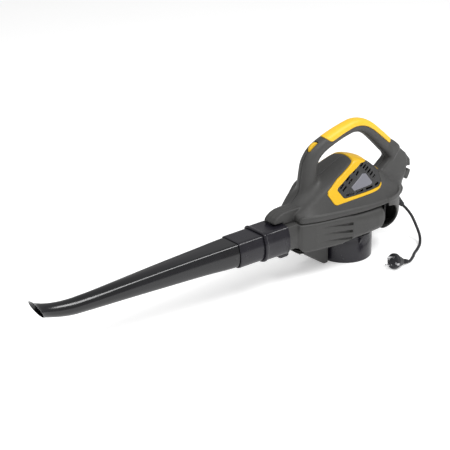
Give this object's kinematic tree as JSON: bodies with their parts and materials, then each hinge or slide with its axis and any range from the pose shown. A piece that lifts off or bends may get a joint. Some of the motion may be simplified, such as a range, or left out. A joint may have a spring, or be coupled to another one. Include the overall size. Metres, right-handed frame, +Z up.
{
  "type": "electric leaf blower",
  "caption": "Corded electric garden blower: long tapering nozzle on a fan housing, arched grip, speed dial in the handle, round intake ring underneath, cord with plug.",
  "frame": {"origin": "on the floor under the middle of the machine's box, leaving out the cord and plug", "axes": "-X along the blowing tube towards the nozzle, +X to the rear, +Y to the right seen from behind, +Z up"},
  "size_m": [1.0981, 0.2499, 0.3335],
  "materials": {
    "housing_grey": "dark grey, fine grained moulded finish",
    "accent_yellow": "warm yellow, satin",
    "tube_black": "black, glossy",
    "panel_grey": "dark grey, satin",
    "badge_grey": "mid grey, semi gloss, blank",
    "cord_rubber": "near black, matte",
    "inner_plastic": "black, matte",
    "steel": "bright turned or nickel plated",
    "core_steel": "stacked steel laminations",
    "copper": "enamelled copper wire and bars",
    "brass": "drawn brass",
    "carbon": "pressed carbon",
    "fan_plastic": "dark grey, matte",
    "board_green": "green laminate"
  },
  "bodies": {
    "blower": {"housing_left": "housing_grey", "housing_right": "housing_grey", "volute_case": "housing_grey", "volute_base": "housing_grey", "front_foot": "housing_grey", "dome_trim": "accent_yellow", "rear_trim": "accent_yellow", "handle_grip": "accent_yellow", "tube_collar": "tube_black", "tube_middle": "tube_black", "tube_nozzle": "tube_black", "vent_panel_left": "panel_grey", "vent_panel_right": "panel_grey", "badge_left": "badge_grey", "badge_right": "badge_grey", "cord_gland": "cord_rubber", "power_cord": "cord_rubber", "plug_body": "cord_rubber", "motor_bracket_lower": "inner_plastic", "motor_bracket_upper": "inner_plastic", "dial_potentiometer": "inner_plastic", "capacitor": "inner_plastic", "cord_clamp": "inner_plastic", "housing_screw_1": "steel", "housing_screw_2": "steel", "housing_screw_3": "steel", "housing_screw_4": "steel", "housing_screw_5": "steel", "housing_screw_6": "steel", "latch_spring": "steel", "bearing_lower": "steel", "bearing_upper": "steel", "brush_spring_front": "steel", "brush_spring_rear": "steel", "plug_pin_1": "steel", "plug_pin_2": "steel", "stator_core": "core_steel", "field_coil_left": "copper", "field_coil_right": "copper", "brush_holder_front": "brass", "brush_holder_rear": "brass", "carbon_brush_front": "carbon", "carbon_brush_rear": "carbon", "speed_board": "board_green"},
    "rotor": {"motor_shaft": "steel", "armature_core": "core_steel", "armature_winding": "copper", "commutator": "copper", "cooling_fan": "fan_plastic", "impeller": "fan_plastic", "impeller_nut": "steel"},
    "dial": {"speed_dial": "accent_yellow", "dial_spindle": "steel"},
    "ring": {"intake_ring": "tube_black", "intake_grille": "inner_plastic"},
    "catch": {"ring_catch": "tube_black"},
    "latch": {"tube_latch": "tube_black"}
  },
  "joints": [
    {"name": "rotor_spin", "type": "hinge", "parent": "blower", "child": "rotor", "pos_m": [0.339, 0, 0.15], "axis": [0, 0, 1], "continuous": true},
    {"name": "dial_turn", "type": "hinge", "parent": "blower", "child": "dial", "pos_m": [0.237, 0, 0.2855], "axis": [0, 1, 0], "range_deg": [0, 240]},
    {"name": "ring_turn", "type": "hinge", "parent": "blower", "child": "ring", "pos_m": [0.339, 0, 0.03], "axis": [0, 0, 1], "range_deg": [0, 25]},
    {"name": "catch_slide", "type": "slide", "parent": "blower", "child": "catch", "axis": [1, 0, 0], "range_m": [0, 0.004], "stiffness_N_per_m": 400, "springref_m": -0.002},
    {"name": "latch_slide", "type": "slide", "parent": "blower", "child": "latch", "axis": [0, 0, -1], "range_m": [0, 0.003], "stiffness_N_per_m": 500, "springref_m": -0.002}
  ]
}
